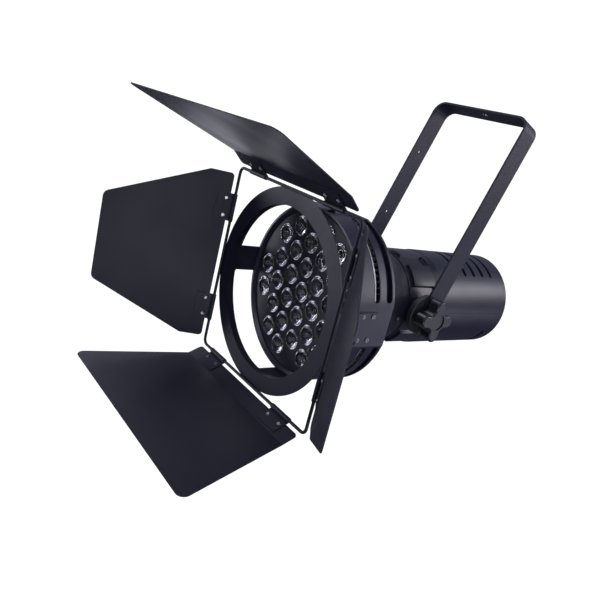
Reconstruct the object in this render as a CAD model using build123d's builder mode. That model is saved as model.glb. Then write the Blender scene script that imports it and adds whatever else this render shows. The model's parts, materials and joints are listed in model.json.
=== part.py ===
"""LED exhibition spotlight in a bent yoke, with a four-leaf barn door on its front ring.

Frame: the origin is the centre of the yoke's hanging hole, on the top face of the crossbar, and +Z is up.
The lamp points along -Y and is pitched down. Everything on the lamp head is drawn on the tilted plane
`head`: its origin is the tilt pivot, its x runs to the lamp's left, its y is the lamp's own up and its
z is the optical axis towards the light. Lengths are millimetres and angles are degrees.
"""
import os
from math import atan2, cos, degrees, hypot, radians, sin, sqrt

from build123d import *

os.makedirs("parts", exist_ok=True)

# ---------------------------------------------------------------- driving dimensions
pitch_down = 18.65      # how far the lamp points below the horizontal

yoke_drop = 283.0       # crossbar top to tilt pivot
yoke_inner = 156.0      # clear width between the legs
strip_width = 28.7
strip_thick = 3.0
yoke_bend_r = 17.0      # outside radius of the two bends
hang_hole_r = 5.25
stud_r = 4.0            # M8 clamp studs
stud_play = 0.4         # radial play of a stud in the sheet it only passes through
stud_fit = 0.05         # radial play of a stud in its bush
gap = 0.3               # gap between pieces that move past each other

lens_pitch = 31.8
lens_r = 12.75
lens_rows_turn = 33.8   # how far the rows of lenses are turned from the pivot axis
lens_face = 151.0       # pivot to the front of the lenses

drum_r = 110.4
drum_wall = 1.5
drum_rear = 96.4
drum_front = 154.4
slot_width = 9.0
drum_slot_rows = (125.0, 105.0)
slot_start = 14.5       # each quadrant's slots run from here to 90 less this
slot_end_ease = 0.04    # how much larger a slot's round ends are than half its width

neck_r = 62.0           # outside radius where the bell meets the casting
neck_front = 20.0
casting_r = 61.5
casting_rear = -36.0
casing_r = 67.0
casing_wall = 1.5
casing_front = -29.0
casing_rear = -180.0
panel_rear = -187.0

ring_outer = 127.0
ring_inner = 105.4
ring_front = 195.5
ring_sheet = 1.5
rod_r = 2.0
rod_half_side = 125.6   # centre of the wire square's sides from the optical axis
rod_corner_r = 8.0
leaf_thick = 1.2

# ---------------------------------------------------------------- planes and small helpers
tilt = radians(pitch_down)
pivot = Vector(0, 0, -yoke_drop)
head = Plane(origin=pivot, x_dir=(1, 0, 0), z_dir=(0, -cos(tilt), -sin(tilt)))
lamp_axis = Axis(origin=pivot, direction=head.z_dir)
meridian = Plane(origin=pivot, x_dir=head.x_dir, z_dir=head.y_dir * -1)   # x = radius, y = along the lamp


def save(part, name):
    """Label a finished piece and write its STEP file."""
    part.part.label = name
    export_step(part.part, "parts/" + name + ".step")


def turned(outline):
    """Revolve a closed outline of (radius, distance along the lamp) points about the optical axis."""
    with BuildSketch(meridian) as profile:
        with BuildLine():
            Polyline(*outline, close=True)
        make_face()
    revolve(profile.sketch, axis=lamp_axis)


def pivot_plane(side, distance):
    """A plane square to the pivot axis, facing out of the lamp on side 1 (left) or -1 (right)."""
    return Plane(origin=(side * distance, 0, -yoke_drop), x_dir=head.z_dir, z_dir=(side, 0, 0))


def radial_plane(angle, radius, along):
    """A plane that faces straight out of the lamp: x runs round it and y runs along it."""
    out = head.x_dir * cos(radians(angle)) + head.y_dir * sin(radians(angle))
    round_dir = head.y_dir * cos(radians(angle)) - head.x_dir * sin(radians(angle))
    return Plane(origin=pivot + out * radius + head.z_dir * along, x_dir=round_dir, z_dir=out)


def cross_plane(angle, along):
    """The plane across the lamp with x pointing out at an angle and y running round it."""
    out = head.x_dir * cos(radians(angle)) + head.y_dir * sin(radians(angle))
    return Plane(origin=pivot + head.z_dir * along, x_dir=out, z_dir=head.z_dir)


def cut_round_slot(radius, along, width, first, last):
    """Cut a slot that runs part of the way round a tube, with round ends."""
    inset = degrees(width / 2 / radius)
    start = first + inset
    sweep = last - first - 2 * inset
    with BuildSketch(head.offset(along - width / 2)) as middle:
        with BuildLine():
            outer = CenterArc((0, 0), radius + 6, start, sweep)
            inner = CenterArc((0, 0), radius - 6, start, sweep)
            Line(outer @ 0, inner @ 0)
            Line(outer @ 1, inner @ 1)
        make_face()
    extrude(middle.sketch, amount=width, mode=Mode.SUBTRACT)
    for end in (start, start + sweep):
        with BuildSketch(radial_plane(end, radius - 6, along)) as round_end:
            Circle(width / 2 + slot_end_ease)
        extrude(round_end.sketch, amount=12, mode=Mode.SUBTRACT)


def screws(places, shank_r, shank, head_r, head_h):
    """Pan-head screws: each place is the plane of the seat, facing out of it."""
    for place in places:
        with BuildSketch(place.offset(-shank)) as shank_end:
            Circle(shank_r)
        extrude(shank_end.sketch, amount=shank)
        with BuildSketch(place) as head_seat:
            Circle(head_r)
            RegularPolygon(head_r * 0.45, 6, mode=Mode.SUBTRACT)
        extrude(head_seat.sketch, amount=head_h)
        with BuildSketch(place) as recess_floor:
            Circle(head_r * 0.5)
        extrude(recess_floor.sketch, amount=head_h * 0.4)


def holes(places, radius, depth, above=0.0):
    """Clearance holes down from each plane."""
    for place in places:
        with BuildSketch(place.offset(above)) as rim:
            Circle(radius)
        extrude(rim.sketch, amount=-(depth + above), mode=Mode.SUBTRACT)


# ================================================================ yoke
leg_in = yoke_inner / 2
leg_out = leg_in + strip_thick
leg_hole_heights = (yoke_drop - 109.0, yoke_drop - 207.0)   # below the crossbar, right-hand leg only

with BuildPart() as yoke:
    with BuildSketch(Plane.XZ):
        with BuildLine():
            outer_u = FilletPolyline((-leg_out, -yoke_drop), (-leg_out, 0), (leg_out, 0),
                                     (leg_out, -yoke_drop), radius=yoke_bend_r)
            inner_u = FilletPolyline((-leg_in, -yoke_drop), (-leg_in, -strip_thick), (leg_in, -strip_thick),
                                     (leg_in, -yoke_drop), radius=yoke_bend_r - strip_thick)
            Line(outer_u @ 0, inner_u @ 0)
            Line(outer_u @ 1, inner_u @ 1)
        make_face()
    extrude(amount=strip_width / 2, both=True)
    for leg_face in (leg_in, -leg_out):
        with BuildSketch(Plane.YZ.offset(leg_face)):
            with Locations((0, -yoke_drop)):
                Circle(strip_width / 2)
        extrude(amount=strip_thick)
    with BuildSketch(Plane.XY):
        Circle(hang_hole_r)
    extrude(amount=-2 * strip_thick, mode=Mode.SUBTRACT)
    with BuildSketch(Plane.YZ):
        with Locations((0, -yoke_drop)):
            Circle(stud_r + stud_play)
    extrude(amount=leg_out + 1, both=True, mode=Mode.SUBTRACT)
    with BuildSketch(Plane.YZ.offset(-leg_out - 1)):
        with Locations(*[(0, -drop) for drop in leg_hole_heights]):
            Circle(2.2)
    extrude(amount=strip_thick + 2, mode=Mode.SUBTRACT)
save(yoke, "yoke")

washer_thick = 1.6
with BuildPart() as yoke_washers:
    for side in (1, -1):
        with BuildSketch(pivot_plane(side, leg_out)):
            Circle(12.0)
            Circle(stud_r + stud_play, mode=Mode.SUBTRACT)
        extrude(amount=washer_thick)
save(yoke_washers, "yoke_washers")

# ================================================================ clamp knobs and their studs
knob_near = leg_out + washer_thick + gap
knob_far = 101.0
lobe_r = 8.5
lobe_reach = 19.5
scallop_r = 8.0
stud_tip = 50.0
insert_r = 8.0
insert_long = 12.0

for side, side_name in ((1, "left"), (-1, "right")):
    outwards = Axis(origin=pivot, direction=(side, 0, 0))
    with BuildPart() as knob:
        with BuildSketch(pivot_plane(side, knob_near + 2)):
            Rectangle(2 * lobe_reach, 2 * lobe_r)
            Rectangle(2 * lobe_r, 2 * lobe_reach)
            fillet(vertices().sort_by_distance((0, 0))[:4], scallop_r)
            with PolarLocations(lobe_reach, 4):
                Circle(lobe_r)
        extrude(amount=knob_far - knob_near - 2)
        fillet(knob.edges().group_by(outwards)[-1], 2.5)
        with BuildSketch(pivot_plane(side, knob_far)):
            Circle(11.0)
        extrude(amount=-1.5, mode=Mode.SUBTRACT)
        with BuildSketch(pivot_plane(side, knob_near)):
            Circle(11.0)
        extrude(amount=2)
        with BuildSketch(pivot_plane(side, knob_near)):
            Circle(insert_r)
        extrude(amount=insert_long, mode=Mode.SUBTRACT)
    save(knob, "clamp_knob_" + side_name)

    with BuildPart() as stud:
        with BuildSketch(pivot_plane(side, stud_tip)):
            Circle(stud_r)
        extrude(amount=knob_near - stud_tip + insert_long)
        chamfer(stud.edges().group_by(outwards)[0], 0.8)
        with BuildSketch(pivot_plane(side, knob_near)):
            Circle(insert_r)
        extrude(amount=insert_long)
    save(stud, "clamp_stud_" + side_name)

# ================================================================ drum with its vent slots
arm_angles = {"left": 0.0, "top": 90.0, "right": 180.0, "bottom": 270.0}
flat_width = 48.0
foot_shift = -2.5          # round the lamp, from the quarter to the middle of the foot
arm_shift = {"left": 0.0, "top": 0.0, "right": -7.0, "bottom": 5.0}   # and to the middle of each arm
flat_r = 107.6             # optical axis to the four flats pressed into the drum
flat_front = 149.4
foot_width = 38.0
foot_rear = 120.0
foot_screws_at = ((-17.0, 143.0), (12.0, 143.0), (-17.0, 127.5), (12.0, 127.5))
bell_flange_r = 98.0

with BuildPart() as head_drum:
    turned([(drum_r, drum_rear), (drum_r, drum_front), (drum_r - drum_wall, drum_front),
            (drum_r - drum_wall, drum_rear + drum_wall), (bell_flange_r - 6, drum_rear + drum_wall),
            (bell_flange_r - 6, drum_rear)])
    for row in drum_slot_rows:
        for quadrant in range(4):
            cut_round_slot(drum_r, row, slot_width, 90 * quadrant + slot_start, 90 * quadrant + 90 - slot_start)
    for angle in arm_angles.values():
        with BuildSketch(cross_plane(angle, drum_rear)):
            with Locations((flat_r + 5, foot_shift)):
                Rectangle(10, flat_width)
        extrude(amount=flat_front - drum_rear, mode=Mode.SUBTRACT)
        with BuildSketch(cross_plane(angle, drum_rear)):
            with Locations((flat_r - drum_wall / 2, foot_shift)):
                Rectangle(drum_wall, flat_width)
        extrude(amount=flat_front - drum_rear)
        with BuildSketch(cross_plane(angle, flat_front - 1)):
            with Locations((flat_r, foot_shift)):
                Rectangle(2 * drum_wall, flat_width)
            with Locations((flat_r + drum_wall + 1, foot_shift)):
                Rectangle(4, flat_width)
            Circle(drum_r - 0.2, mode=Mode.INTERSECT)
        extrude(amount=1)
        with BuildSketch(radial_plane(angle, flat_r, 0)):
            with Locations(*foot_screws_at):
                Circle(1.6)
        extrude(amount=-8, mode=Mode.SUBTRACT)
save(head_drum, "head_drum")


def cut_flats():
    """Trim a disc that sits inside the drum to clear the drum's flats."""
    with BuildSketch(head.offset(drum_rear)) as trims:
        with PolarLocations(flat_r - drum_wall - 0.2 + 5, 4):
            Rectangle(10, 2 * flat_width)
    extrude(trims.sketch, amount=80, mode=Mode.SUBTRACT)

# ================================================================ lamp front: rim, lens plate, lenses
rim_inner_r = 104.0
plate_front = 149.6
plate_thick = 2.0
rim_screw_count = 8


def lens_places():
    """The hexagonal lattice of lenses: every lattice point within about two and two thirds pitches."""
    places = []
    for row in range(-3, 4):
        for column in range(-4, 5):
            x = lens_pitch * (column + 0.5 * (row % 2))
            y = lens_pitch * row * sqrt(3) / 2
            if hypot(x, y) < 2.7 * lens_pitch:
                turn = radians(lens_rows_turn)
                places.append((x * cos(turn) - y * sin(turn), x * sin(turn) + y * cos(turn)))
    return places


def lens_screw_places():
    """Small screws in some of the triangles between lenses."""
    places = []
    for angle in range(0, 360, 60):
        turn = radians(angle + lens_rows_turn + 30)
        for reach in (lens_pitch / sqrt(3), 4 * lens_pitch / sqrt(3)):
            places.append((reach * cos(turn), reach * sin(turn)))
    return places


lenses_at = lens_places()
lens_screws_at = lens_screw_places()

with BuildPart() as front_rim:
    turned([(rim_inner_r, plate_front), (drum_r - drum_wall - 0.05, plate_front),
            (drum_r - drum_wall - 0.05, drum_front), (rim_inner_r + 3.5, drum_front),
            (rim_inner_r, plate_front + 1.6)])
save(front_rim, "front_rim")

with BuildPart() as lens_plate:
    with BuildSketch(head.offset(plate_front - plate_thick)):
        Circle(drum_r - drum_wall - 0.1)
        with Locations(*lenses_at):
            Circle(lens_r + 0.25, mode=Mode.SUBTRACT)
        with Locations(*lens_screws_at):
            Circle(1.3, mode=Mode.SUBTRACT)
    extrude(amount=plate_thick)
    cut_flats()
save(lens_plate, "lens_plate")

lens_rear = 137.6
lens_rear_r = 5.0
lens_flange_r = 13.6       # rests behind the lens plate
lens_barrel = 146.0
with BuildPart() as lenses:
    with BuildSketch(head.offset(lens_barrel)):
        with Locations(*lenses_at):
            Circle(lens_flange_r)
    extrude(amount=plate_front - plate_thick - lens_barrel)
    with BuildSketch(head.offset(lens_barrel)):
        with Locations(*lenses_at):
            Circle(lens_r)
    extrude(amount=lens_face - 0.8 - lens_barrel)
    with BuildSketch(head.offset(lens_face - 0.8)):
        with Locations(*lenses_at):
            Circle(lens_r)
    extrude(amount=0.8, taper=60)
    lens_cone = degrees(atan2(lens_flange_r - lens_rear_r, lens_barrel - lens_rear))
    with BuildSketch(head.offset(lens_barrel)):
        with Locations(*lenses_at):
            Circle(lens_flange_r)
    extrude(amount=lens_rear - lens_barrel, taper=lens_cone)
save(lenses, "lenses")

with BuildPart() as lens_plate_screws:
    screws([Plane(origin=head.offset(plate_front).from_local_coords((x, y, 0)), x_dir=head.x_dir,
                  z_dir=head.z_dir) for x, y in lens_screws_at], 1.2, 18.0, 2.2, 1.4)
save(lens_plate_screws, "lens_plate_screws")

# ================================================================ light engine: board, chips, heat sink
board_front = 136.0
board_thick = 2.0
board_r = 101.0
sink_r = 105.8
sink_base_r = 108.8        # the base sits inside the drum
sink_core_r = 24.0
sink_base_thick = 4.5
sink_rear = 110.5
fin_count = 90
fin_thick = 1.0
fan_front = 98.0
fan_screw_grid = 82.5

with BuildPart() as led_board:
    with BuildSketch(head.offset(board_front - board_thick)):
        Circle(board_r)
        with Locations(*lens_screws_at):
            Circle(1.35, mode=Mode.SUBTRACT)
    extrude(amount=board_thick)
save(led_board, "led_board")

with BuildPart() as led_chips:
    with BuildSketch(head.offset(board_front)):
        with Locations(*lenses_at):
            Rectangle(5, 5)
    extrude(amount=1.2)
save(led_chips, "led_chips")

with BuildPart() as heat_sink:
    with BuildSketch(head.offset(board_front - board_thick - sink_base_thick)):
        Circle(sink_base_r)
    extrude(amount=sink_base_thick)
    cut_flats()
    with BuildSketch(head.offset(sink_rear)):
        Circle(sink_core_r)
        with PolarLocations((sink_core_r + sink_r) / 2 - 1, fin_count):
            Rectangle(sink_r - sink_core_r + 2, fin_thick)
        with GridLocations(fan_screw_grid, fan_screw_grid, 2, 2):
            Circle(6.5, mode=Mode.SUBTRACT)
    extrude(amount=board_front - board_thick - sink_base_thick - sink_rear)
    with BuildSketch(head.offset(fan_front)):
        with GridLocations(fan_screw_grid, fan_screw_grid, 2, 2):
            Circle(4.5)
    extrude(amount=board_front - board_thick - sink_base_thick - fan_front)
    with BuildSketch(head.offset(fan_front)):
        with GridLocations(fan_screw_grid, fan_screw_grid, 2, 2):
            Circle(2.0)
    extrude(amount=14, mode=Mode.SUBTRACT)
    holes([Plane(origin=head.offset(board_front - board_thick).from_local_coords((x, y, 0)),
                 x_dir=head.x_dir, z_dir=head.z_dir) for x, y in lens_screws_at], 1.35, 3.6)
save(heat_sink, "heat_sink")

# ================================================================ fan behind the heat sink
fan_side = 92.0
fan_depth = 25.0
fan_bore_r = 43.5
fan_hub_r = 19.0
fan_pin_r = 2.0
blade_count = 7
blade_twist = 38.0

with BuildPart() as fan_frame:
    with BuildSketch(head.offset(fan_front - fan_depth)):
        RectangleRounded(fan_side, fan_side, 5)
        Circle(fan_bore_r, mode=Mode.SUBTRACT)
        with GridLocations(fan_screw_grid, fan_screw_grid, 2, 2):
            Circle(2.2, mode=Mode.SUBTRACT)
    extrude(amount=fan_depth)
    with BuildSketch(head.offset(fan_front - fan_depth)):
        Circle(fan_hub_r)
        with PolarLocations(0, 4, start_angle=45):
            with Locations((fan_bore_r / 2 + 1, 0)):
                Rectangle(fan_bore_r + 2, 4)
    extrude(amount=3)
    with BuildSketch(head.offset(fan_front - fan_depth)):
        Circle(fan_pin_r)
    extrude(amount=18)
save(fan_frame, "fan_frame")

with BuildPart() as fan_rotor:
    rotor_rear = fan_front - fan_depth + 3.6
    with BuildSketch(head.offset(rotor_rear)):
        Circle(fan_hub_r - 0.5)
    extrude(amount=20)
    for blade in range(blade_count):
        root = radial_plane(360 / blade_count * blade, fan_hub_r - 2, rotor_rear + 10)
        chord = root.x_dir * cos(radians(blade_twist)) + root.y_dir * sin(radians(blade_twist))
        with BuildSketch(Plane(origin=root.origin, x_dir=chord, z_dir=root.z_dir)):
            Rectangle(24, 1.6)
        extrude(amount=fan_bore_r - fan_hub_r - 1)
    with BuildSketch(head.offset(rotor_rear)):
        Circle(fan_pin_r + stud_fit)
    extrude(amount=20, mode=Mode.SUBTRACT)
save(fan_rotor, "fan_rotor")

with BuildPart() as fan_screws:
    corner = fan_screw_grid / 2
    screws([Plane(origin=head.offset(fan_front - fan_depth).from_local_coords((x, y, 0)),
                  x_dir=head.x_dir, z_dir=head.z_dir * -1)
            for x in (-corner, corner) for y in (-corner, corner)], 1.9, fan_depth + 12.0, 3.4, 2.4)
save(fan_screws, "fan_screws")

# ================================================================ bell-shaped neck
neck_wall = 2.0
neck_screw_at = 33.0
neck_screw_angles = (-8.0, 82.0, 172.0, 262.0)


def bell_line(inset):
    """The bell's S-shaped outline, from its wide front to the casting, drawn inwards by an inset."""
    return [(bell_flange_r - inset, drum_rear), (bell_flange_r - 3 - inset, drum_rear - 9),
            (82.0 - inset, drum_rear - 27), (68.5 - inset, drum_rear - 44),
            (63.5 - inset, drum_rear - 60), (neck_r - inset, neck_front)]


with BuildPart() as bell_neck:
    with BuildSketch(meridian):
        with BuildLine():
            outside = Spline(*bell_line(0), tangents=((0, -1), (0, -1)))
            inside = Spline(*bell_line(neck_wall), tangents=((0, -1), (0, -1)))
            Line(outside @ 0, inside @ 0)
            Line(outside @ 1, inside @ 1)
        make_face()
    revolve(axis=lamp_axis)
    holes([radial_plane(angle, 70, neck_screw_at) for angle in neck_screw_angles], 1.7, 16)
save(bell_neck, "bell_neck")

# ================================================================ cast middle with the tilt bosses
casting_wall = 3.0
pad_proud = 4.5
pad_front = 12.0
pad_rear = -28.6
pad_angles = (45.0, 90.0, 135.0, 225.0, 270.0, 315.0)
pad_arc = 27.0
boss_r = 19.5
boss_face = 69.6
disc_r = 27.0
bush_r = 7.0
pillar_reach = 38.2        # the four pillars stand this far across and this far up or down
pillars_at = [(x, y) for x in (-pillar_reach, pillar_reach) for y in (-pillar_reach, pillar_reach)]

with BuildPart() as mid_casting:
    turned([(casting_r - casting_wall, casting_rear), (casting_r + 2.5, casting_rear),
            (casting_r + 2.5, casting_rear + 5), (casting_r, casting_rear + 8), (casting_r, neck_front - 4),
            (casting_r + 1.5, neck_front - 2), (casting_r + 1.5, neck_front - 0.05),
            (neck_r - neck_wall - 0.1, neck_front - 0.05), (neck_r - neck_wall - 0.1, neck_front + 16),
            (neck_r - neck_wall - 3, neck_front + 16), (neck_r - neck_wall - 3, neck_front - 0.05),
            (casting_r - casting_wall, neck_front - 4)])
    for angle in pad_angles:
        with BuildSketch(head.offset(pad_rear)):
            with BuildLine():
                pad_out = CenterArc((0, 0), casting_r + pad_proud, angle - pad_arc / 2, pad_arc)
                pad_in = CenterArc((0, 0), casting_r - 1, angle - pad_arc / 2 - 2, pad_arc + 4)
                Line(pad_out @ 0, pad_in @ 0)
                Line(pad_out @ 1, pad_in @ 1)
            make_face()
        extrude(amount=pad_front - pad_rear)
    for side in (1, -1):
        with BuildSketch(pivot_plane(side, casting_r - casting_wall - 3)):
            Circle(boss_r)
        extrude(amount=boss_face - (casting_r - casting_wall - 3))
        with BuildSketch(pivot_plane(side, stud_tip - 4)):
            Circle(bush_r + 3)
        extrude(amount=casting_r - casting_wall - 3 - (stud_tip - 4))
    with BuildSketch(Plane.YZ):
        with Locations((0, -yoke_drop)):
            Circle(bush_r + 0.02)
    extrude(amount=boss_face + 1, both=True, mode=Mode.SUBTRACT)
    for pillar in pillars_at:
        with BuildSketch(head.offset(casting_rear)):
            with Locations(pillar):
                Circle(6.5)
        extrude(amount=6)
        with BuildSketch(head.offset(casting_rear)):
            with Locations(pillar):
                Circle(2.1)
        extrude(amount=6, mode=Mode.SUBTRACT)
    holes([radial_plane(angle, 64, neck_screw_at) for angle in neck_screw_angles], 1.6, 10)
save(mid_casting, "mid_casting")

with BuildPart() as threaded_bushes:
    for side in (1, -1):
        with BuildSketch(pivot_plane(side, stud_tip - 4)):
            Circle(bush_r)
            Circle(stud_r + stud_fit, mode=Mode.SUBTRACT)
        extrude(amount=boss_face - stud_tip + 4)
save(threaded_bushes, "threaded_bushes")

with BuildPart() as friction_discs:
    for side in (1, -1):
        with BuildSketch(pivot_plane(side, boss_face)):
            Circle(disc_r)
            Circle(stud_r + stud_play, mode=Mode.SUBTRACT)
        extrude(amount=leg_in - gap - boss_face)
    chamfer(friction_discs.edges().filter_by(GeomType.CIRCLE).group_by(SortBy.RADIUS)[-1], 1.0)
save(friction_discs, "friction_discs")

with BuildPart() as neck_screws:
    screws([radial_plane(angle, 63.4, neck_screw_at) for angle in neck_screw_angles], 1.5, 6.0, 2.8, 1.6)
save(neck_screws, "neck_screws")

# ================================================================ rear casing: two half shells
vent_pitch = 19.4
vent_first = -78.0
vent_count = 5
vent_width = 5.5
seam = 0.15                # half the gap between the two shells
collar_r = casing_r - 3.0


def casing_shell(middle):
    """Half of the casing tube with its stepped front collar, centred on an angle round the lamp."""
    seam_turn = degrees(seam / casing_r)
    first = radians(middle - 90 + seam_turn)
    out = head.x_dir * cos(first) + head.y_dir * sin(first)
    round_dir = head.y_dir * cos(first) - head.x_dir * sin(first)
    with BuildSketch(Plane(origin=pivot, x_dir=out, z_dir=round_dir * -1)) as profile:
        with BuildLine():
            Polyline((casing_r, casing_rear), (casing_r, casing_front - 10), (collar_r + 0.8, casing_front),
                     (casting_r + 2.6, casing_front), (casting_r + 2.6, casing_front - 7.5),
                     (casing_r - casing_wall, casing_front - 8.5), (casing_r - casing_wall, casing_rear),
                     close=True)
        make_face()
    revolve(profile.sketch, axis=lamp_axis, revolution_arc=180 - 2 * seam_turn)


with BuildPart() as casing_top:
    casing_shell(90.0)
    for vent in range(vent_count):
        cut_round_slot(casing_r, vent_first - vent * vent_pitch, vent_width, 46.0, 134.0)
save(casing_top, "casing_top")

with BuildPart() as casing_bottom:
    casing_shell(270.0)
    cut_round_slot(casing_r, -163.5, vent_width, 208.0, 332.0)
save(casing_bottom, "casing_bottom")

# ================================================================ rear panel and what it carries
panel_thick = 2.5
panel_round = 3.5
socket_w = 26.0
socket_h = 31.0
socket_bore_r = 12.0
sockets = {"power_inlet": (-16.5, -35.0), "power_outlet": (16.5, -35.0),
           "data_inlet": (-40.0, 2.0), "data_outlet": (40.0, 2.0)}
display_at = (0.0, 38.0)
display_size = (38.0, 20.0)
buttons_at = [(-9.0, 15.0), (9.0, 15.0), (-9.0, -3.0), (9.0, -3.0)]
button_r = 4.0
button_travel = 0.8
board_posts_at = [(-26.0, 42.0), (26.0, 42.0), (-19.0, -8.0), (19.0, -8.0)]
board_gap = 4.6            # panel to control board
flange_thick = 2.0
flange_screw = (socket_w / 2 - 3.2, socket_h / 2 - 3.2)
socket_screws_at = [(x + turn * flange_screw[0], y + turn * flange_screw[1])
                    for x, y in sockets.values() for turn in (-1, 1)]
rear = Plane(origin=pivot + head.z_dir * panel_rear, x_dir=head.x_dir * -1, z_dir=head.z_dir * -1)


def rear_at(place, above=0.0):
    """A plane on the rear panel's outside, seen from behind, at a place (x to the right, y up)."""
    return Plane(origin=rear.offset(above).from_local_coords((place[0], place[1], 0)), x_dir=rear.x_dir,
                 z_dir=rear.z_dir)


with BuildPart() as rear_panel:
    turned([(0, panel_rear), (casing_r, panel_rear), (casing_r, casing_rear - gap),
            (casing_r - casing_wall - 0.05, casing_rear - gap), (casing_r - casing_wall - 0.05, casing_rear + 3),
            (casing_r - 4, casing_rear + 3),
            (casing_r - 4, panel_rear + panel_thick), (0, panel_rear + panel_thick)])
    fillet(rear_panel.edges().filter_by(GeomType.CIRCLE).group_by(lamp_axis)[0], panel_round)
    for place in sockets.values():
        holes([rear_at(place)], socket_bore_r, panel_thick + 1, 1)
    with BuildSketch(rear_at(display_at)):
        Rectangle(display_size[0] - 4, display_size[1] - 4)
    extrude(amount=-panel_thick - 1, mode=Mode.SUBTRACT)
    holes([rear_at(place) for place in buttons_at], button_r + 0.35, panel_thick + 1, 1)
    holes([rear_at(place) for place in pillars_at], 1.7, panel_thick + 1, 1)
    holes([rear_at(place) for place in socket_screws_at], 1.3, panel_thick + 1, 1)
    for place in board_posts_at:
        with BuildSketch(rear_at(place, -panel_thick)):
            Circle(2.5)
        extrude(amount=-board_gap)
save(rear_panel, "rear_panel")

with BuildPart() as panel_screws:
    screws([rear_at(place) for place in pillars_at], 1.5, 9.0, 3.0, 1.8)
save(panel_screws, "panel_screws")

with BuildPart() as socket_screws:
    screws([rear_at(place, flange_thick) for place in socket_screws_at], 1.2, 6.0, 2.1, 1.0)
save(socket_screws, "socket_screws")

with BuildPart() as casing_pillars:
    for pillar in pillars_at:
        with BuildSketch(head.offset(panel_rear + panel_thick)):
            with Locations(pillar):
                Circle(4.0)
        extrude(amount=casting_rear - panel_rear - panel_thick)
        with BuildSketch(head.offset(panel_rear + panel_thick)):
            with Locations(pillar):
                Circle(1.6)
        extrude(amount=9, mode=Mode.SUBTRACT)
        with BuildSketch(head.offset(casting_rear)):
            with Locations(pillar):
                Circle(2.0)
        extrude(amount=5)
save(casing_pillars, "casing_pillars")

for name, place in sockets.items():
    with BuildPart() as socket:
        with BuildSketch(rear_at(place)):
            RectangleRounded(socket_w, socket_h, 3.5)
        extrude(amount=flange_thick)
        with BuildSketch(rear_at(place)):
            Circle(socket_bore_r - 0.2)
        extrude(amount=-20.0)
        with BuildSketch(rear_at(place, flange_thick)):
            Circle(socket_bore_r - 2.2)
        extrude(amount=-14.0, mode=Mode.SUBTRACT)
        with BuildSketch(rear_at(place, -12.0)):
            with PolarLocations(4.6, 3):
                Circle(1.1)
        extrude(amount=9.0)
        holes([rear_at((place[0] + turn * flange_screw[0], place[1] + turn * flange_screw[1]))
               for turn in (-1, 1)], 1.3, 1, flange_thick + 1)
    save(socket, name)

with BuildPart() as display_window:
    with BuildSketch(rear_at(display_at)):
        RectangleRounded(display_size[0], display_size[1], 2)
    extrude(amount=1.5)
    with BuildSketch(rear_at(display_at)):
        Rectangle(display_size[0] - 4.4, display_size[1] - 4.4)
    extrude(amount=-panel_thick)
save(display_window, "display_window")

for number, place in enumerate(buttons_at, start=1):
    with BuildPart() as button:
        with BuildSketch(rear_at(place, -panel_thick - 1.6)):
            Circle(button_r)
        extrude(amount=panel_thick + 1.6 + 2.4)
        fillet(button.edges().filter_by(GeomType.CIRCLE).group_by(lamp_axis)[0], 0.8)
        with BuildSketch(rear_at(place, -panel_thick - gap)):
            Circle(button_r + 1.4)
        extrude(amount=-1.2)
    save(button, "menu_button_" + str(number))

# ================================================================ electronics inside the casing
chassis_y = 4.0 - pillar_reach   # the plate rests on the two lower pillars
chassis_front = -44.0
chassis_rear = -160.0
driver_width = 78.0
driver_length = 92.0
driver_height = 38.0
driver_wall = 2.0
board_rear = panel_rear + panel_thick + board_gap

with BuildPart() as chassis_plate:
    with BuildSketch(Plane(origin=pivot + head.y_dir * chassis_y + head.z_dir * (chassis_front + chassis_rear) / 2,
                           x_dir=head.x_dir, z_dir=head.y_dir)):
        RectangleRounded(104, chassis_front - chassis_rear, 6)
        with GridLocations(2 * pillar_reach, 96, 2, 2):
            Circle(1.6, mode=Mode.SUBTRACT)
    extrude(amount=1.5)
save(chassis_plate, "chassis_plate")

with BuildPart() as led_driver:
    driver_seat = Plane(origin=pivot + head.y_dir * (chassis_y + 1.5) + head.z_dir * -98, x_dir=head.x_dir,
                        z_dir=head.y_dir)
    with BuildSketch(driver_seat):
        RectangleRounded(driver_width, driver_length, 3)
    extrude(amount=driver_height)
    with BuildSketch(driver_seat):
        Rectangle(driver_width - 2 * driver_wall, driver_length - 2 * driver_wall)
    extrude(amount=driver_height - 2 * driver_wall, mode=Mode.SUBTRACT)
    with BuildSketch(driver_seat.offset(driver_height)):
        with GridLocations(0, 7, 1, 11):
            Rectangle(driver_width - 18, 2.5)
    extrude(amount=-1.5, mode=Mode.SUBTRACT)
save(led_driver, "led_driver")

with BuildPart() as control_board:
    with BuildSketch(head.offset(board_rear)):
        Rectangle(46, 62)
        with Locations((0, 32)):
            Rectangle(60, 30)
        with Locations((0, -26)):
            Rectangle(70, 30, mode=Mode.SUBTRACT)
    extrude(amount=1.6)
save(control_board, "control_board")

with BuildPart() as tact_switches:
    for place in buttons_at:
        with BuildSketch(rear_at(place, -panel_thick - board_gap)):
            Rectangle(6, 6)
        extrude(amount=board_gap - 1.6 - button_travel - gap)
save(tact_switches, "tact_switches")

# ================================================================ arms that carry the front ring
arm_width = 34.0
arm_thick = 2.0
arm_inner = 110.9
foot_seat = flat_r + 0.05
foot_front = flat_front - 1.2
arm_front = 190.6
finger_reach = 107.4       # inner radius of the two fingers that hold the ring's lip
lip_rear = 186.1
lip_thick = 1.0
lip_outer = 109.6

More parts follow.
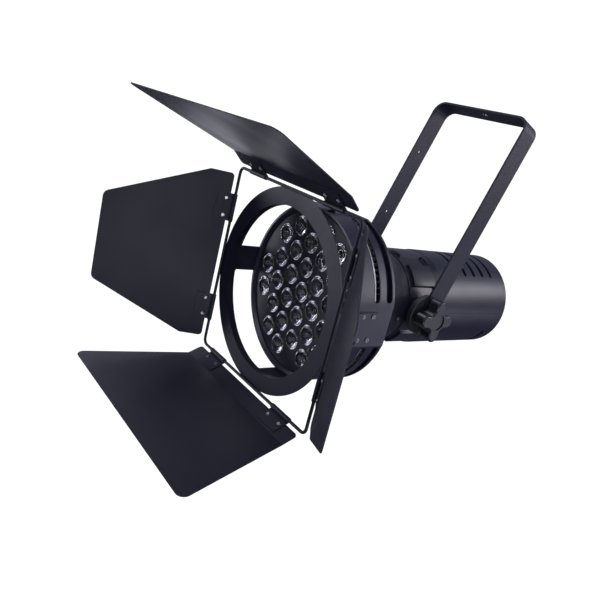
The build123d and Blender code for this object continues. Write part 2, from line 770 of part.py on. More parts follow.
for side_name, angle in arm_angles.items():
    with BuildPart() as arm:
        with BuildSketch(cross_plane(angle, foot_rear)):
            with Locations((foot_seat + arm_thick / 2, foot_shift)):
                Rectangle(arm_thick, foot_width)
        extrude(amount=foot_front - foot_rear)
        with BuildSketch(cross_plane(angle, foot_front - arm_thick)):
            with Locations(((foot_seat + arm_inner + arm_thick) / 2, foot_shift)):
                Rectangle(arm_inner + arm_thick - foot_seat, foot_width)
        extrude(amount=arm_thick)
        with BuildSketch(cross_plane(angle, foot_front - arm_thick)):
            with Locations((arm_inner + arm_thick / 2, arm_shift[side_name])):
                Rectangle(arm_thick, arm_width)
        extrude(amount=arm_front - foot_front + arm_thick)
        for along in (lip_rear - 2.4, lip_rear + lip_thick + 0.9):
            with BuildSketch(cross_plane(angle, along)):
                with Locations((arm_inner - 3, arm_shift[side_name])):
                    Rectangle(6.2, arm_width)
                Circle(finger_reach, mode=Mode.SUBTRACT)
            extrude(amount=1.5)
        with BuildSketch(radial_plane(angle, foot_seat + arm_thick, 0)):
            with Locations(*foot_screws_at):
                Circle(1.7)
        extrude(amount=-arm_thick, mode=Mode.SUBTRACT)
    save(arm, "ring_arm_" + side_name)

with BuildPart() as arm_screws:
    for angle in arm_angles.values():
        seat = radial_plane(angle, foot_seat + arm_thick, 0)
        screws([Plane(origin=seat.from_local_coords((x, y, 0)), x_dir=seat.x_dir, z_dir=seat.z_dir)
                for x, y in foot_screws_at], 1.5, 3.4, 2.6, 1.2)
save(arm_screws, "arm_screws")

# ================================================================ front ring and its wire square
with BuildPart() as front_ring:
    turned([(ring_outer, ring_front - ring_sheet), (ring_outer, ring_front), (ring_inner, ring_front),
            (ring_inner, lip_rear), (lip_outer, lip_rear), (lip_outer, lip_rear + lip_thick),
            (ring_inner + 1.2, lip_rear + lip_thick), (ring_inner + 1.2, ring_front - ring_sheet)])
save(front_ring, "front_ring")

rod_plane = head.offset(ring_front + rod_r)
straight = rod_half_side - rod_corner_r
with BuildPart() as wire_frame:
    for quarter in range(4):
        side_on = cross_plane(90 * quarter, ring_front + rod_r)
        with BuildSketch(Plane(origin=side_on.from_local_coords((rod_half_side, -straight, 0)),
                               x_dir=side_on.x_dir, z_dir=side_on.y_dir)):
            Circle(rod_r)
        extrude(amount=2 * straight)
        corner_at = Plane(origin=side_on.from_local_coords((straight, straight, 0)), x_dir=side_on.x_dir,
                          z_dir=side_on.y_dir)
        with BuildSketch(corner_at):
            with Locations((rod_corner_r, 0)):
                Circle(rod_r)
        revolve(axis=Axis(origin=corner_at.origin, direction=head.z_dir), revolution_arc=90)
save(wire_frame, "wire_frame")

# ================================================================ barn door leaves
clip_sheet = 1.0
clip_bore_r = rod_r + 0.06
clip_width = 37.0
clip_tail = 23.0
rivet_up = 11.0            # hinge line to the rivets
rivet_apart = 23.4
leaf_face = -(clip_bore_r + clip_sheet)   # the leaf's inner face, behind the rod

small_root = 6.0           # hinge line to the root edge
small_half = 116.0         # half width by the rod
small_shoulder = 37.6      # where the sides start to lean in
small_tip_half = 58.4
small_length = 165.7
large_root = 4.8
large_half = 121.3
large_fold = 26.2          # where the large leaf bends forward and its sides start to flare
large_bend = 21.2
large_tip_half = 164.9
large_length = 170.0
# side: (where it hangs round the lamp, how far its root is opened forward, folded or not, slide on the rod)
leaves = {"left": (0.0, 38.3, False, -6.8), "top": (90.0, 48.1, True, -2.4),
          "right": (180.0, 65.2, False, -0.6), "bottom": (270.0, 63.6, True, 3.6)}


def leaf_plane(around, opening, slide):
    """The plane of a leaf through its hinge line: x along the rod, y up the leaf, z to the light."""
    out = head.x_dir * cos(radians(around)) + head.y_dir * sin(radians(around))
    along_rod = out.cross(head.z_dir)
    up_leaf = out * cos(radians(opening)) + head.z_dir * sin(radians(opening))
    hinge = rod_plane.origin + out * rod_half_side + along_rod * slide
    return Plane(origin=hinge, x_dir=along_rod, z_dir=along_rod.cross(up_leaf))


def folded_plane(flat):
    """The plane of a large leaf's main plate: it turns forward about the inner face's fold line."""
    fold = flat.offset(leaf_face).from_local_coords((0, large_fold, 0))
    lean = radians(large_bend)
    up_plate = flat.y_dir * cos(lean) + flat.z_dir * sin(lean)
    return Plane(origin=fold, x_dir=flat.x_dir, z_dir=flat.x_dir.cross(up_plate))


for side_name, (around, opening, folded, slide) in leaves.items():
    flat = leaf_plane(around, opening, slide)
    clips_at = (-79.0, 79.0) if folded else (-71.0, 71.0)
    rivet_places = [(x + offset, rivet_up) for x in clips_at for offset in (-rivet_apart / 2, rivet_apart / 2)]
    with BuildPart() as leaf:
        if folded:
            with BuildSketch(flat.offset(leaf_face)):
                with BuildLine():
                    Polyline((-large_half, large_fold), (-large_half, large_root), (large_half, large_root),
                             (large_half, large_fold), close=True)
                make_face()
                fillet(vertices().sort_by(Axis.Y)[:2], 5.0)
            extrude(amount=-leaf_thick)
            reach = large_length - large_fold
            with BuildSketch(folded_plane(flat)):
                with BuildLine():
                    Polyline((-large_half, 0), (large_half, 0), (large_tip_half, reach),
                             (-large_tip_half, reach), close=True)
                make_face()
                fillet(vertices().sort_by(Axis.Y)[2:], 9.0)
            extrude(amount=-leaf_thick)
            fold_side = Plane(origin=flat.offset(leaf_face).from_local_coords((-large_half, large_fold, 0)),
                              x_dir=flat.y_dir, z_dir=flat.x_dir)
            with BuildSketch(fold_side) as bend_fill:
                with BuildLine():
                    Polyline((0, 0), (0, -leaf_thick), (leaf_thick * sin(radians(large_bend)),
                             -leaf_thick * cos(radians(large_bend))), close=True)
                make_face()
            extrude(bend_fill.sketch, amount=2 * large_half)
        else:
            with BuildSketch(flat.offset(leaf_face)):
                with BuildLine():
                    Polyline((-small_half, small_root), (small_half, small_root), (small_half, small_shoulder),
                             (small_tip_half, small_length), (-small_tip_half, small_length),
                             (-small_half, small_shoulder), close=True)
                make_face()
                fillet(vertices().sort_by(Axis.Y)[4:], 9.0)
                fillet(vertices().sort_by(Axis.Y)[:2], 5.0)
            extrude(amount=-leaf_thick)
        holes([Plane(origin=flat.offset(leaf_face).from_local_coords((x, y, 0)), x_dir=flat.x_dir,
                     z_dir=flat.z_dir) for x, y in rivet_places], 1.55, leaf_thick + 1, 1)
    save(leaf, "leaf_" + side_name)

    with BuildPart() as clips:
        for x in clips_at:
            end_on = Plane(origin=flat.from_local_coords((x - clip_width / 2, 0, 0)), x_dir=flat.y_dir,
                           z_dir=flat.x_dir)
            with BuildSketch(end_on):
                Circle(clip_bore_r + clip_sheet)
                with Locations((clip_tail / 2, leaf_face + clip_sheet / 2)):
                    Rectangle(clip_tail, clip_sheet)
                Circle(clip_bore_r, mode=Mode.SUBTRACT)
            extrude(amount=clip_width)
        holes([Plane(origin=flat.offset(leaf_face).from_local_coords((x, y, 0)), x_dir=flat.x_dir,
                     z_dir=flat.z_dir) for x, y in rivet_places], 1.55, 1, 2)
    save(clips, "leaf_clips_" + side_name)

    with BuildPart() as rivets:
        for x, y in rivet_places:
            top = Plane(origin=flat.offset(leaf_face + clip_sheet).from_local_coords((x, y, 0)),
                        x_dir=flat.x_dir, z_dir=flat.z_dir)
            with BuildSketch(top):
                Circle(2.6)
            extrude(amount=1.1, taper=30)
            with BuildSketch(top):
                Circle(1.5)
            extrude(amount=-clip_sheet - leaf_thick)
            with BuildSketch(top.offset(-clip_sheet - leaf_thick)):
                Circle(2.4)
            extrude(amount=-0.7, taper=30)
    save(rivets, "leaf_rivets_" + side_name)
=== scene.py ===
"""LED exhibition spotlight: finishes, detailed pieces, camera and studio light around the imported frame."""
import json
import math

import bmesh
import bpy
from mathutils import Matrix, Vector


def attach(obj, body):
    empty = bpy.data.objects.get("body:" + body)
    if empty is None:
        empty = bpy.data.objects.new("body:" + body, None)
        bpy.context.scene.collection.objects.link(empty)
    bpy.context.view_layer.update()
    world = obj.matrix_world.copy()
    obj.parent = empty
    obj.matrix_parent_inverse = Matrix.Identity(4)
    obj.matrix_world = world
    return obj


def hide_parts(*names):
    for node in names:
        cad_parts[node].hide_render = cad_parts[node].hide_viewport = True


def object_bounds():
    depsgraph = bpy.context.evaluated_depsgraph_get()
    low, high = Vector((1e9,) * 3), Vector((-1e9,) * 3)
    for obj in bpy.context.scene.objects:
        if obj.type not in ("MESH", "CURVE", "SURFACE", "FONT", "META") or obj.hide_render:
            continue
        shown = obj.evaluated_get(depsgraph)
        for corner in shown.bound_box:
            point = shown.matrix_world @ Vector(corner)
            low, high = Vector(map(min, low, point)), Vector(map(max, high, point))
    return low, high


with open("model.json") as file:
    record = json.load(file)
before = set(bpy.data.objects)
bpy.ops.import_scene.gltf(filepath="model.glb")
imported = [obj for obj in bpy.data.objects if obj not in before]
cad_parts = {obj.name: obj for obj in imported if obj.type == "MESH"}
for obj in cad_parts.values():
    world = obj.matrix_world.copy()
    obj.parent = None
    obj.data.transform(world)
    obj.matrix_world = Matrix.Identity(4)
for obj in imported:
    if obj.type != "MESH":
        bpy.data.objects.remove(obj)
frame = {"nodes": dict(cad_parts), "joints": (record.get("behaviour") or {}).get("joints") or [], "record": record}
cad_low, cad_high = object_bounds()
nodes = frame["nodes"]

# ------------------------------------------------------------------ the lamp's own axes, from its joints
joints = {j["name"]: j for j in frame["joints"]}
pivot = Vector(joints["head_tilt"]["pos_m"])
axis_n = Vector(joints["barn_door_turn"]["axis"]).normalized()     # optical axis, towards the light
axis_x = Vector((1, 0, 0))
axis_u = axis_n.cross(axis_x).normalized()
HEAD = Matrix((
    (axis_x.x, axis_u.x, axis_n.x, pivot.x),
    (axis_x.y, axis_u.y, axis_n.y, pivot.y),
    (axis_x.z, axis_u.z, axis_n.z, pivot.z),
    (0, 0, 0, 1)))

# ------------------------------------------------------------------ camera, at the reference view
cam_data = bpy.data.cameras.new("camera")
cam_data.lens = 38.36
cam_data.sensor_width = 36
camera = bpy.data.objects.new("camera", cam_data)
bpy.context.collection.objects.link(camera)
right = Vector((0.5612, 0.6761, 0.4775)).normalized()
back = -Vector((-0.7416, 0.6669, -0.0728)).normalized()
up = back.cross(right).normalized()
right = up.cross(back).normalized()
spot = Vector((0.6007, -0.6783, -0.2820))
camera.matrix_world = Matrix((
    (right.x, up.x, back.x, spot.x),
    (right.y, up.y, back.y, spot.y),
    (right.z, up.z, back.z, spot.z),
    (0, 0, 0, 1)))
bpy.context.scene.camera = camera


# ------------------------------------------------------------------ materials
def new_material(name):
    mat = bpy.data.materials.new(name)
    mat.use_nodes = True
    tree = mat.node_tree
    shader = tree.nodes["Principled BSDF"]
    return mat, tree, shader


def powder_coat(name, colour, rough=0.5, grain=900.0, bump=0.12, spread=0.25):
    """Satin powder coat: fine orange peel, slightly uneven gloss and tone."""
    mat, tree, shader = new_material(name)
    nd, ln = tree.nodes, tree.links
    place = nd.new("ShaderNodeTexCoord")
    fine = nd.new("ShaderNodeTexNoise")
    fine.inputs["Scale"].default_value = grain
    fine.inputs["Detail"].default_value = 3
    broad = nd.new("ShaderNodeTexNoise")
    broad.inputs["Scale"].default_value = 14
    broad.inputs["Detail"].default_value = 4
    ln.new(place.outputs["Object"], fine.inputs["Vector"])
    ln.new(place.outputs["Object"], broad.inputs["Vector"])
    tone = nd.new("ShaderNodeMix")
    tone.data_type = "RGBA"
    tone.inputs["A"].default_value = (*[c * (1 - spread) for c in colour], 1)
    tone.inputs["B"].default_value = (*[c * (1 + spread) for c in colour], 1)
    ln.new(broad.outputs["Fac"], tone.inputs["Factor"])
    ln.new(tone.outputs["Result"], shader.inputs["Base Color"])
    gloss = nd.new("ShaderNodeMapRange")
    gloss.inputs["From Min"].default_value = 0.3
    gloss.inputs["From Max"].default_value = 0.7
    gloss.inputs["To Min"].default_value = rough - 0.04
    gloss.inputs["To Max"].default_value = rough + 0.05
    ln.new(broad.outputs["Fac"], gloss.inputs["Value"])
    ln.new(gloss.outputs["Result"], shader.inputs["Roughness"])
    peel = nd.new("ShaderNodeBump")
    peel.inputs["Strength"].default_value = bump
    peel.inputs["Distance"].default_value = 0.0003
    ln.new(fine.outputs["Fac"], peel.inputs["Height"])
    ln.new(peel.outputs["Normal"], shader.inputs["Normal"])
    return mat


def turned_coat(name, colour, rough=0.4, lines=2600.0):
    """Coat over turned metal: fine lines run round the optical axis and spread the highlight along it."""
    mat = powder_coat(name, colour, rough, grain=700.0, bump=0.1)
    tree = mat.node_tree
    nd, ln = tree.nodes, tree.links
    shader = nd["Principled BSDF"]
    place = nd.new("ShaderNodeTexCoord")
    turn = nd.new("ShaderNodeMapping")
    turn.vector_type = "TEXTURE"
    turn.inputs["Location"].default_value = tuple(pivot)
    turn.inputs["Rotation"].default_value = tuple(HEAD.to_euler())
    split = nd.new("ShaderNodeSeparateXYZ")
    ln.new(place.outputs["Object"], turn.inputs["Vector"])
    ln.new(turn.outputs["Vector"], split.inputs["Vector"])
    streak = nd.new("ShaderNodeTexNoise")
    streak.noise_dimensions = "1D"
    streak.inputs["Scale"].default_value = lines
    streak.inputs["Detail"].default_value = 4
    ln.new(split.outputs["Z"], streak.inputs["W"])
    bump = nd.new("ShaderNodeBump")
    bump.inputs["Strength"].default_value = 0.12
    bump.inputs["Distance"].default_value = 0.0002
    ln.new(streak.outputs["Fac"], bump.inputs["Height"])
    old = shader.inputs["Normal"].links[0].from_socket
    ln.new(old, bump.inputs["Normal"])
    ln.new(bump.outputs["Normal"], shader.inputs["Normal"])
    return mat


def plastic(name, colour, rough=0.4, grain=600.0, bump=0.08):
    return powder_coat(name, colour, rough, grain, bump, spread=0.12)


def metal(name, colour, rough=0.3, scratch=400.0):
    """Bare metal with fine scratches and an uneven polish."""
    mat, tree, shader = new_material(name)
    nd, ln = tree.nodes, tree.links
    shader.inputs["Metallic"].default_value = 1.0
    place = nd.new("ShaderNodeTexCoord")
    noise = nd.new("ShaderNodeTexNoise")
    noise.inputs["Scale"].default_value = scratch
    noise.inputs["Detail"].default_value = 5
    ln.new(place.outputs["Object"], noise.inputs["Vector"])
    tone = nd.new("ShaderNodeMix")
    tone.data_type = "RGBA"
    tone.inputs["A"].default_value = (*[c * 0.8 for c in colour], 1)
    tone.inputs["B"].default_value = (*colour, 1)
    ln.new(noise.outputs["Fac"], tone.inputs["Factor"])
    ln.new(tone.outputs["Result"], shader.inputs["Base Color"])
    gloss = nd.new("ShaderNodeMapRange")
    gloss.inputs["To Min"].default_value = rough - 0.08
    gloss.inputs["To Max"].default_value = rough + 0.12
    ln.new(noise.outputs["Fac"], gloss.inputs["Value"])
    ln.new(gloss.outputs["Result"], shader.inputs["Roughness"])
    bump = nd.new("ShaderNodeBump")
    bump.inputs["Strength"].default_value = 0.1
    bump.inputs["Distance"].default_value = 0.0002
    ln.new(noise.outputs["Fac"], bump.inputs["Height"])
    ln.new(bump.outputs["Normal"], shader.inputs["Normal"])
    return mat


def clear(name, rough=0.03, ior=1.49):
    mat, tree, shader = new_material(name)
    nd, ln = tree.nodes, tree.links
    shader.inputs["Base Color"].default_value = (0.95, 0.96, 0.97, 1)
    shader.inputs["Transmission Weight"].default_value = 1.0
    shader.inputs["IOR"].default_value = ior
    place = nd.new("ShaderNodeTexCoord")
    noise = nd.new("ShaderNodeTexNoise")
    noise.inputs["Scale"].default_value = 300
    ln.new(place.outputs["Object"], noise.inputs["Vector"])
    gloss = nd.new("ShaderNodeMapRange")
    gloss.inputs["To Min"].default_value = rough
    gloss.inputs["To Max"].default_value = rough + 0.05
    ln.new(noise.outputs["Fac"], gloss.inputs["Value"])
    ln.new(gloss.outputs["Result"], shader.inputs["Roughness"])
    return mat


M = {
    "casting_black": powder_coat("casting_black", (0.014, 0.015, 0.026), 0.32, grain=800.0, bump=0.15),
    "housing_black": turned_coat("housing_black", (0.014, 0.014, 0.032), 0.34),
    "yoke_black": powder_coat("yoke_black", (0.008, 0.008, 0.024), 0.5),
    "door_black": powder_coat("door_black", (0.0065, 0.007, 0.021), 0.5, grain=1200.0, bump=0.2),
    "rivet_steel": metal("rivet_steel", (0.42, 0.42, 0.45), 0.3),
    "knob_black": plastic("knob_black", (0.012, 0.012, 0.016), 0.34),
    "zinc_steel": metal("zinc_steel", (0.62, 0.63, 0.65), 0.28),
    "black_screw": metal("black_screw", (0.20, 0.20, 0.22), 0.3),
    "lens_clear": clear("lens_clear"),
    "lens_plate_black": plastic("lens_plate_black", (0.009, 0.010, 0.020), 0.5),
    "led_board_white": plastic("led_board_white", (0.75, 0.76, 0.74), 0.5),
    "led_emitter": plastic("led_emitter", (0.75, 0.62, 0.15), 0.3),
    "heat_sink_aluminium": metal("heat_sink_aluminium", (0.82, 0.83, 0.88), 0.42),
    "fan_plastic": plastic("fan_plastic", (0.015, 0.015, 0.015), 0.45),
    "bush_brass": metal("bush_brass", (0.68, 0.5, 0.22), 0.3),
    "friction_fibre": plastic("friction_fibre", (0.02, 0.02, 0.022), 0.6),
    "display_dark": plastic("display_dark", (0.006, 0.007, 0.010), 0.12, bump=0.01),
    "connector_black": plastic("connector_black", (0.012, 0.012, 0.013), 0.4),
    "connector_blue": plastic("connector_blue", (0.02, 0.07, 0.22), 0.4),
    "button_grey": plastic("button_grey", (0.12, 0.12, 0.13), 0.45),
    "circuit_green": plastic("circuit_green", (0.01, 0.07, 0.03), 0.3),
    "switch_black": plastic("switch_black", (0.02, 0.02, 0.02), 0.4),
    "chassis_zinc": metal("chassis_zinc", (0.5, 0.51, 0.52), 0.35),
    "driver_case": metal("driver_case", (0.45, 0.46, 0.48), 0.38),
}
slots = {s["node"]: s["material_slot"] for s in frame["record"]["subparts"]}
for name, obj in nodes.items():
    mat = M[slots[name]]
    if obj.data.materials:
        for i in range(len(obj.data.materials)):
            obj.data.materials[i] = mat
    else:
        obj.data.materials.append(mat)


# ------------------------------------------------------------------ detailed pieces
def head_obj(name, mesh_builder, body, slot_name, stands_for=()):
    """A mesh drawn in the lamp's own frame (metres: x left, y up, z to the light), carried by a body."""
    mesh = bpy.data.meshes.new(name)
    bm = bmesh.new()
    mesh_builder(bm)
    bmesh.ops.recalc_face_normals(bm, faces=bm.faces)
    bm.transform(HEAD)
    bm.to_mesh(mesh)
    bm.free()
    for face in mesh.polygons:
        face.use_smooth = True
    mesh.set_sharp_from_angle(angle=math.radians(32))
    obj = bpy.data.objects.new(name, mesh)
    bpy.context.collection.objects.link(obj)
    mesh.materials.append(M[slot_name])
    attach(obj, body)
    if stands_for:
        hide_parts(*stands_for)


def lathe(bm, centre, profile, segments, closed=True):
    """Revolve (radius, z) points in millimetres about the line through a centre, parallel to the lamp."""
    rings = []
    for r, z in profile:
        if r < 1e-6:
            rings.append([bm.verts.new((centre[0] / 1000, centre[1] / 1000, z / 1000))])
            continue
        ring = []
        for k in range(segments):
            a = 2 * math.pi * k / segments
            ring.append(bm.verts.new(((centre[0] + r * math.cos(a)) / 1000,
                                      (centre[1] + r * math.sin(a)) / 1000, z / 1000)))
        rings.append(ring)
    pairs = list(zip(rings, rings[1:]))
    if closed:
        pairs.append((rings[-1], rings[0]))
    for low, high in pairs:
        if len(low) == 1 and len(high) == 1:
            continue
        for k in range(segments):
            j = (k + 1) % segments
            if len(low) == 1:
                bm.faces.new((low[0], high[j], high[k]))
            elif len(high) == 1:
                bm.faces.new((low[k], low[j], high[0]))
            else:
                bm.faces.new((low[k], low[j], high[j], high[k]))


LENS_PITCH = 31.8
LENS_TURN = math.radians(33.8)


def lens_centres():
    places = []
    for row in range(-3, 4):
        for column in range(-4, 5):
            x = LENS_PITCH * (column + 0.5 * (row % 2))
            y = LENS_PITCH * row * math.sqrt(3) / 2
            if math.hypot(x, y) < 2.7 * LENS_PITCH:
                places.append((x * math.cos(LENS_TURN) - y * math.sin(LENS_TURN),
                               x * math.sin(LENS_TURN) + y * math.cos(LENS_TURN)))
    return places


CENTRES = lens_centres()
LENS_FACE = 151.0          # front face of the lens rims, along the lamp's axis, mm
PLATE_FRONT = 149.6        # front face of the lens plate
CHIP_TOP = 137.2           # top of the LED chips
LENS_R = 12.75             # widest radius of a lens
LENS_RIM_DEPTH = 3.2       # the rim behind its front face, where the parabolic wall starts


def lens_profile():
    """A collimator: parabolic outer wall, a rear pocket over the chip and a recessed front dome."""
    face = LENS_FACE
    outline = [(0.0, face - 6.4), (1.6, face - 6.6), (3.4, face - 7.6), (4.2, face - 8.4), (4.4, face - 3.4)]
    for k in range(9):
        t = k / 8
        outline.append((4.6 + 6.6 * t, face - 3.2 + 1.4 * t * t))
    outline += [(11.4, face - 0.5), (11.9, face - 0.1), (12.5, face - 0.1), (LENS_R, face - 0.4),
                (LENS_R, face - 2.6), (12.5, face - LENS_RIM_DEPTH)]
    tail = CHIP_TOP + 0.6
    depth = (face - LENS_RIM_DEPTH) - tail
    for k in range(1, 9):
        t = k / 8
        outline.append((12.5 - 8.0 * t ** 1.35, face - LENS_RIM_DEPTH - depth * t))
    outline += [(3.1, tail), (2.9, CHIP_TOP + 4.4), (1.6, CHIP_TOP + 3.6), (0.0, CHIP_TOP + 3.3)]
    return outline


def build_lenses(bm):
    for centre in CENTRES:
        lathe(bm, centre, lens_profile(), segments=44, closed=False)


head_obj("lens_bodies", build_lenses, "head", "lens_clear", ("lenses",))


def build_cups(bm):
    """The dark holder behind each collimator, open at the front and round the chip."""
    mouth = PLATE_FRONT - 2.2
    floor_in = CHIP_TOP - 0.6
    floor_out = CHIP_TOP - 1.1
    profile = [(12.95, mouth), (12.95, PLATE_FRONT - 3.4), (7.4, floor_in), (3.6, floor_in),
               (3.6, floor_out), (8.0, floor_out), (13.5, PLATE_FRONT - 3.5), (13.5, mouth)]
    for centre in CENTRES:
        lathe(bm, centre, profile, segments=36)


head_obj("lens_cups", build_cups, "head", "lens_plate_black")


def tube(bm, points, radius, sides=8, closed=True):
    """A bead of round section along a path of (place, outward direction) pairs in millimetres."""
    rings = []
    count = len(points)
    for k, (place, outward) in enumerate(points):
        before = points[(k - 1) % count][0] if closed or k else place
        after = points[(k + 1) % count][0] if closed or k < count - 1 else place
        along = (after - before).normalized()
        side = along.cross(outward).normalized()
        out = side.cross(along).normalized()
        ring = []
        for j in range(sides):
            a = 2 * math.pi * j / sides
            spot_mm = place + out * (radius * math.cos(a)) + side * (radius * math.sin(a))
            ring.append(bm.verts.new(spot_mm / 1000))
        rings.append(ring)
    pairs = list(zip(rings, rings[1:]))
    if closed:
        pairs.append((rings[-1], rings[0]))
    for low, high in pairs:
        for j in range(sides):
            i = (j + 1) % sides
            bm.faces.new((low[j], low[i], high[i], high[j]))
    if not closed:
        bm.faces.new(rings[0])
        bm.faces.new(list(reversed(rings[-1])))


def slot_path(radius, along, width, first, last):
    """The rim of a round-ended slot that runs part of the way round a tube."""
    half = width / 2
    inset = math.degrees(half / radius)
    rim = []
    steps = 28
    for k in range(steps + 1):
        rim.append((first + inset + (last - first - 2 * inset) * k / steps, along + half))
    for k in range(1, 8):
        a = math.pi * k / 8
        rim.append((last - inset + inset * math.sin(a), along + half * math.cos(a)))
    for k in range(steps + 1):
        rim.append((last - inset - (last - first - 2 * inset) * k / steps, along - half))
    for k in range(1, 8):
        a = math.pi * k / 8
        rim.append((first + inset - inset * math.sin(a), along - half * math.cos(a)))
    path = []
    for turn, z in rim:
        a = math.radians(turn)
        out = Vector((math.cos(a), math.sin(a), 0))
        path.append((out * radius + Vector((0, 0, z)), out))
    return path


SLOT_ROWS = (125.0, 105.0)       # middles of the forward and rear rows of drum slots, mm
SLOT_WIDTH = 9.2
SLOT_ENDS = (14.4, 75.6)         # turn of a slot's two ends within its quarter of the drum, degrees
SLOT_EDGE_R = 110.2
EDGE_BEAD_R = 0.55


def build_slot_edges(bm):
    """Rolled edges round the drum's vent slots."""
    first, last = SLOT_ENDS
    for along in SLOT_ROWS:
        for quadrant in range(4):
            rim = slot_path(SLOT_EDGE_R, along, SLOT_WIDTH, 90 * quadrant + first, 90 * quadrant + last)
            tube(bm, rim, EDGE_BEAD_R)


head_obj("drum_slot_edges", build_slot_edges, "head", "housing_black")


SINK_RIM_R = 107.4
SINK_RIM_AT = 126.2              # along the lamp's axis, mm
SINK_BEAD_R = 1.3
SINK_ARC = (13.5, 63)            # start and sweep of each arc, degrees
ARC_STEPS = 32


def build_sink_edges(bm):
    """The bright rim of the heat sink's base, seen through the forward slots of the drum."""
    start, sweep = SINK_ARC
    for quadrant in range(4):
        path = []
        for k in range(ARC_STEPS + 1):
            a = math.radians(90 * quadrant + start + sweep * k / ARC_STEPS)
            out = Vector((math.cos(a), math.sin(a), 0))
            path.append((out * SINK_RIM_R + Vector((0, 0, SINK_RIM_AT)), out))
        tube(bm, path, SINK_BEAD_R, closed=False)


head_obj("heat_sink_rim", build_sink_edges, "head", "heat_sink_aluminium")


# ------------------------------------------------------------------ floor, backdrop and light
BACKDROP_GLOW = 1.1              # what the camera sees behind the lamp: plain white
ROOM_GLOW = 0.28                 # what lights the lamp
LENS_GLOW = 1.3                  # added for rays that have passed through a lens
FLOOR_DROP = 0.6                 # the floor lies this far below the hanging lamp, m
floor_mesh = bpy.data.meshes.new("floor")
bm = bmesh.new()
bmesh.ops.create_grid(bm, x_segments=1, y_segments=1, size=30)
bm.to_mesh(floor_mesh)
bm.free()
floor = bpy.data.objects.new("floor", floor_mesh)
floor.location = (0, 0, cad_low.z - FLOOR_DROP)
bpy.context.collection.objects.link(floor)
floor_mat, floor_tree, floor_shader = new_material("floor_pale")
floor_shader.inputs["Base Color"].default_value = (0.22, 0.22, 0.24, 1)
floor_shader.inputs["Roughness"].default_value = 0.9
floor_shader.inputs["Specular IOR Level"].default_value = 0.0
floor_seen = floor_tree.nodes.new("ShaderNodeLightPath")
floor_white = floor_tree.nodes.new("ShaderNodeEmission")
floor_white.inputs["Color"].default_value = (1, 1, 1, 1)
floor_white.inputs["Strength"].default_value = BACKDROP_GLOW
floor_mix = floor_tree.nodes.new("ShaderNodeMixShader")
floor_tree.links.new(floor_seen.outputs["Is Camera Ray"], floor_mix.inputs[0])
floor_tree.links.new(floor_shader.outputs[0], floor_mix.inputs[1])
floor_tree.links.new(floor_white.outputs[0], floor_mix.inputs[2])
floor_tree.links.new(floor_mix.outputs[0], floor_tree.nodes["Material Output"].inputs["Surface"])
floor_mesh.materials.append(floor_mat)

world = bpy.data.worlds.new("studio")
bpy.context.scene.world = world
world.use_nodes = True
wn, wl = world.node_tree.nodes, world.node_tree.links
backdrop = wn["Background"]
backdrop.inputs["Color"].default_value = (1, 1, 1, 1)
backdrop.inputs["Strength"].default_value = BACKDROP_GLOW
room = wn.new("ShaderNodeBackground")
room.inputs["Color"].default_value = (0.74, 0.78, 1.0, 1)
seen = wn.new("ShaderNodeLightPath")
in_lens = wn.new("ShaderNodeMath")
in_lens.operation = "MULTIPLY_ADD"
in_lens.inputs[1].default_value = LENS_GLOW
in_lens.inputs[2].default_value = ROOM_GLOW
wl.new(seen.outputs["Is Transmission Ray"], in_lens.inputs[0])
wl.new(in_lens.outputs[0], room.inputs["Strength"])
either = wn.new("ShaderNodeMixShader")
wl.new(seen.outputs["Is Camera Ray"], either.inputs[0])
wl.new(room.outputs[0], either.inputs[1])
wl.new(backdrop.outputs[0], either.inputs[2])
wl.new(either.outputs[0], wn["World Output"].inputs["Surface"])
bpy.context.scene.view_settings.view_transform = "Standard"


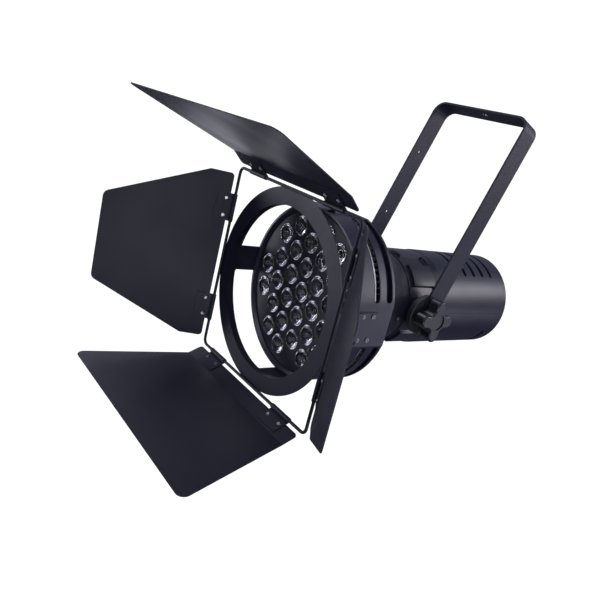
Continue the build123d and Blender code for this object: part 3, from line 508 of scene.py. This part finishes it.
def area(name, offset, size, power, target, colour):
    """A soft box at a place in the camera's own right, up and back directions from the target."""
    data = bpy.data.lights.new(name, "AREA")
    data.shape = "RECTANGLE"
    data.size, data.size_y = size
    data.energy = power
    data.color = colour
    lamp = bpy.data.objects.new(name, data)
    aim = Vector(target)
    lamp.location = aim + right * offset[0] + up * offset[1] + back * offset[2]
    lamp.rotation_mode = "QUATERNION"
    lamp.rotation_quaternion = (aim - lamp.location).to_track_quat("-Z", "Y")
    bpy.context.collection.objects.link(lamp)


STRIP_TINT = (1.0, 0.94, 1.0)
FILL_TINT = (0.85, 0.9, 1.0)
COOL = (0.88, 0.89, 1.0)
COOL_DEEP = (0.84, 0.86, 1.0)
COOL_PALE = (0.95, 0.96, 1.0)
FACE = (0, -0.15, -0.3)          # the front of the lamp
for step in range(1, 7):
    t = step / 4
    area("side_strip_" + str(step), (1.62 + 0.05 * t, 0.50 - 0.44 * t, -0.24 + 0.52 * t), (0.46, 0.46), 1.3,
         (0.0, 0.02, -0.28), STRIP_TINT)
area("side_fill", (1.9, 0.9, 0.5), (1.4, 1.2), 7, (0, 0, -0.28), FILL_TINT)
area("top_box", (0.0, 1.7, -0.5), (1.2, 0.9), 8, (0, -0.1, -0.28), COOL)
area("left_box", (-1.7, 0.45, -0.5), (0.5, 0.9), 9, (0, -0.2, -0.3), COOL)
area("rear_left_box", (-0.9, 1.2, -1.2), (0.6, 0.6), 3, (0, -0.25, -0.4), COOL)
area("rear_box", (-0.42, 0.12, -1.9), (0.5, 0.5), 3, (0, -0.25, -0.2), COOL)
area("front_box", (-1.1, 0.9, 1.3), (0.6, 0.8), 4, FACE, COOL)
area("sparkle_high", (-0.5, 1.35, 1.2), (0.9, 0.10), 3.0, FACE, COOL_PALE)
area("sparkle_right", (1.0, 0.55, 1.5), (0.12, 0.9), 3.0, FACE, COOL_PALE)
area("sparkle_low", (0.5, -0.9, 1.5), (0.9, 0.10), 3.0, FACE, COOL_PALE)
area("low_front_box", (0.25, -1.0, 1.35), (1.1, 0.8), 6, (0, -0.2, -0.3), COOL_DEEP)
area("low_right_box", (1.4, -0.9, 0.2), (0.9, 0.7), 3, (0, 0.05, -0.3), COOL_DEEP)
